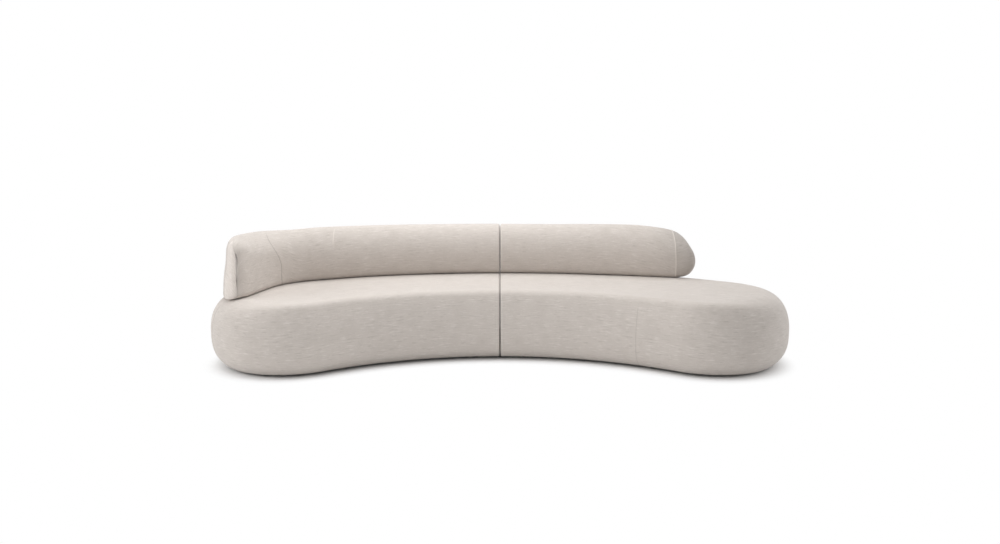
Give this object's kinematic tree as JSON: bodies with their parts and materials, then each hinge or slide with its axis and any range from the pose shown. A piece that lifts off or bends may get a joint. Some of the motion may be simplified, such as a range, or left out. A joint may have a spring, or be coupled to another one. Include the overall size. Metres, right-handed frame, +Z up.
{
  "type": "sofa",
  "caption": "Low curved modular sofa: pebble-shaped seat in two halves, a soft backrest roll that ends as an arm on one side and in a dome on the other.",
  "frame": {"origin": "on the floor, in the middle of the sofa's outline box", "axes": "+X to the viewer's right along the length, +Y to the back, +Z up; the joint between the modules is the plane X = 0"},
  "size_m": [3.3588, 1.3518, 0.738],
  "materials": {
    "upholstery_fabric": "pale warm grey woven cloth with short irregular slubs across, matt",
    "seat_foam": "cut cream polyurethane foam",
    "dust_cloth": "black spun dust cloth, stapled",
    "webbing": "brown elastic jute and rubber webbing",
    "glide_plastic": "black moulded plastic",
    "connector_steel": "black lacquered spring steel",
    "plywood": "birch plywood, raw",
    "frame_timber": "raw beech and pine boards, planed"
  },
  "bodies": {
    "left_module": {"left_arm_board": "plywood", "left_arm_cover": "upholstery_fabric", "left_arm_foam": "seat_foam", "left_back_board": "plywood", "left_back_cover": "upholstery_fabric", "left_back_foam": "seat_foam", "left_back_posts": "frame_timber", "left_braces": "frame_timber", "left_connector_jaws": "connector_steel", "left_cross_webbing": "webbing", "left_dust_cover": "dust_cloth", "left_end_foam": "seat_foam", "left_front_foam": "seat_foam", "left_glides": "glide_plastic", "left_joint_foam": "seat_foam", "left_long_webbing": "webbing", "left_lower_end_rail": "frame_timber", "left_lower_front_rail": "frame_timber", "left_lower_joint_rail": "frame_timber", "left_lower_rear_rail": "frame_timber", "left_rail_blocks": "frame_timber", "left_rear_foam": "seat_foam", "left_seat_cover": "upholstery_fabric", "left_seat_foam": "seat_foam", "left_upper_end_rail": "frame_timber", "left_upper_front_rail": "frame_timber", "left_upper_joint_rail": "frame_timber", "left_upper_rear_rail": "frame_timber"},
    "right_module": {"right_back_board": "plywood", "right_back_cover": "upholstery_fabric", "right_back_foam": "seat_foam", "right_back_posts": "frame_timber", "right_braces": "frame_timber", "right_connector_tongues": "connector_steel", "right_cross_webbing": "webbing", "right_dust_cover": "dust_cloth", "right_end_cap_cover": "upholstery_fabric", "right_end_foam": "seat_foam", "right_front_foam": "seat_foam", "right_glides": "glide_plastic", "right_joint_foam": "seat_foam", "right_long_webbing": "webbing", "right_lower_end_rail": "frame_timber", "right_lower_front_rail": "frame_timber", "right_lower_joint_rail": "frame_timber", "right_lower_rear_rail": "frame_timber", "right_rail_blocks": "frame_timber", "right_rear_foam": "seat_foam", "right_seat_cover": "upholstery_fabric", "right_seat_foam": "seat_foam", "right_upper_end_rail": "frame_timber", "right_upper_front_rail": "frame_timber", "right_upper_joint_rail": "frame_timber", "right_upper_rear_rail": "frame_timber"}
  },
  "joints": [
    {"name": "modules_pull_apart", "type": "slide", "parent": "left_module", "child": "right_module", "axis": [1, 0, 0], "range_m": [0, 0.3]}
  ]
}
